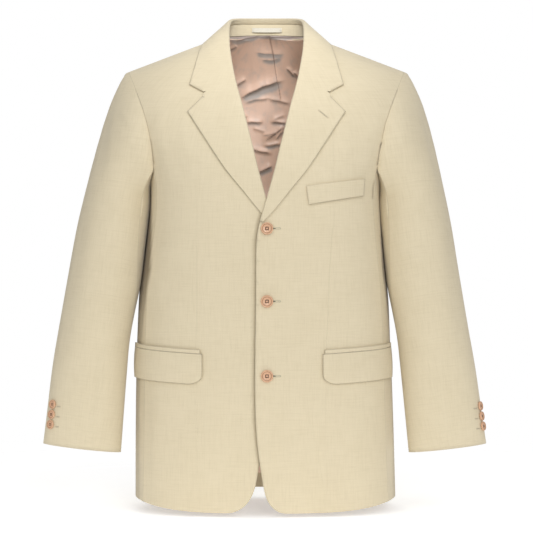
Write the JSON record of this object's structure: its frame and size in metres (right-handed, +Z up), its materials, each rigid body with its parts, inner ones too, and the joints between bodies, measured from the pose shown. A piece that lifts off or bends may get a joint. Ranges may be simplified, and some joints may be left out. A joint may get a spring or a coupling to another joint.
{
  "type": "single breasted blazer",
  "caption": "Single breasted linen-look blazer with notch lapels, flap pockets, a breast welt and button cuffs, filled out as worn and hollow inside.",
  "frame": {"origin": "middle of the neck base, level with the neck seam, where a neck or a hanger would hold the garment", "axes": "+Z up, -Y towards the front of the garment, +X towards the wearer's left"},
  "size_m": [0.7184, 0.2761, 0.809],
  "materials": {
    "linen": "matt slubby weave",
    "lining_satin": "satin, changing from pinkish brown to grey",
    "loop_braid": "flat ivory braid",
    "button_horn": "satin horn"
  },
  "bodies": {
    "root": {"front_right": "linen", "side_right": "linen", "back_right": "linen", "lapel_right": "linen", "top_sleeve_right": "linen", "under_sleeve_right": "linen", "flap_right": "linen", "jetting_right": "linen", "front_left": "linen", "side_left": "linen", "back_left": "linen", "lapel_left": "linen", "top_sleeve_left": "linen", "under_sleeve_left": "linen", "flap_left": "linen", "jetting_left": "linen", "collar_leaf": "linen", "collar_stand": "linen", "breast_welt": "linen", "back_lining": "lining_satin", "hanger_loop": "loop_braid", "front_button_1": "button_horn", "front_button_2": "button_horn", "front_button_3": "button_horn", "cuff_button_right_1": "button_horn", "cuff_button_right_2": "button_horn", "cuff_button_right_3": "button_horn", "cuff_button_left_1": "button_horn", "cuff_button_left_2": "button_horn", "cuff_button_left_3": "button_horn"}
  },
  "joints": []
}
